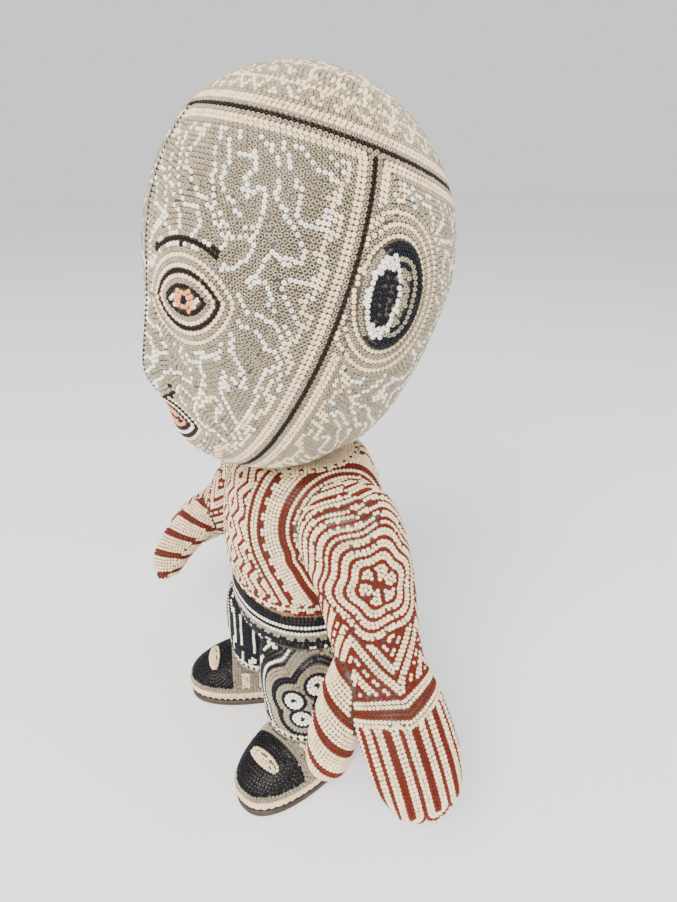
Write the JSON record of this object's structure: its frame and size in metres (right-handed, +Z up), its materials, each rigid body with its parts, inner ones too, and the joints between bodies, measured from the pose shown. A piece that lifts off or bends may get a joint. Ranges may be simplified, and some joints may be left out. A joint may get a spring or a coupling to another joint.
{
  "type": "beaded figure",
  "caption": "Standing big-headed folk figure, cores coated with wax and covered all over in glass seed beads, with a head that turns on a neck dowel.",
  "frame": {"origin": "on the floor under the middle of the bounding box; the neck axis stands 4.8 mm to +X and 2.5 mm to +Y of it, because the arms are not alike", "axes": "+Z up, the figure faces -Y, its left side is +X"},
  "size_m": [0.269, 0.1466, 0.355],
  "materials": {
    "resin": "moulded polyester resin, matt",
    "wood": "turned and carved light wood, unvarnished",
    "wax": "beeswax and pine resin, satin",
    "silver_beads": "silver-grey translucent glass seed beads",
    "cream_beads": "opaque cream glass seed beads",
    "brick_beads": "opaque brick red glass seed beads",
    "brown_beads": "opaque dark brown glass seed beads",
    "navy_beads": "opaque blue-black glass seed beads",
    "peach_beads": "opaque peach glass seed beads",
    "sole": "dark brown dyed sole, matt"
  },
  "bodies": {
    "body": {"belt_beads": "navy_beads", "belt_wax": "wax", "left_ankle_dowel": "wood", "left_arm_beads": "cream_beads", "left_arm_core": "wood", "left_arm_wax": "wax", "left_boot_beads": "silver_beads", "left_boot_core": "wood", "left_boot_wax": "wax", "left_leg_core": "wood", "left_shoulder_dowel": "wood", "left_sole": "sole", "left_toe_cap_beads": "navy_beads", "left_trouser_beads": "navy_beads", "left_trouser_wax": "wax", "left_welt_beads": "cream_beads", "neck_dowel": "wood", "neck_ring_beads": "cream_beads", "pelvis_core": "wood", "right_ankle_dowel": "wood", "right_arm_beads": "cream_beads", "right_arm_core": "wood", "right_arm_wax": "wax", "right_boot_beads": "silver_beads", "right_boot_core": "wood", "right_boot_wax": "wax", "right_leg_core": "wood", "right_shoulder_dowel": "wood", "right_sole": "sole", "right_toe_cap_beads": "navy_beads", "right_trouser_beads": "navy_beads", "right_trouser_wax": "wax", "right_welt_beads": "cream_beads", "torso_beads": "cream_beads", "torso_core": "wood", "torso_wax": "wax", "waist_dowel": "wood"},
    "head": {"centre_seam_beads": "brown_beads", "crown_beads": "silver_beads", "crown_seam_beads": "brown_beads", "head_shell_front": "resin", "head_shell_rear": "resin", "head_wax": "wax", "left_ear": "navy_beads", "left_eye_beads": "brown_beads", "left_face_beads": "silver_beads", "left_rear_beads": "silver_beads", "left_seam_beads": "brown_beads", "mouth_beads": "peach_beads", "neck_socket": "wood", "right_ear": "navy_beads", "right_eye_beads": "brown_beads", "right_face_beads": "silver_beads", "right_rear_beads": "silver_beads", "right_seam_beads": "brown_beads"}
  },
  "joints": [
    {"name": "head_turn", "type": "hinge", "parent": "body", "child": "head", "pos_m": [0.00481, 0.00254, 0.185], "axis": [0, 0, 1], "range_deg": [-80, 80]}
  ]
}
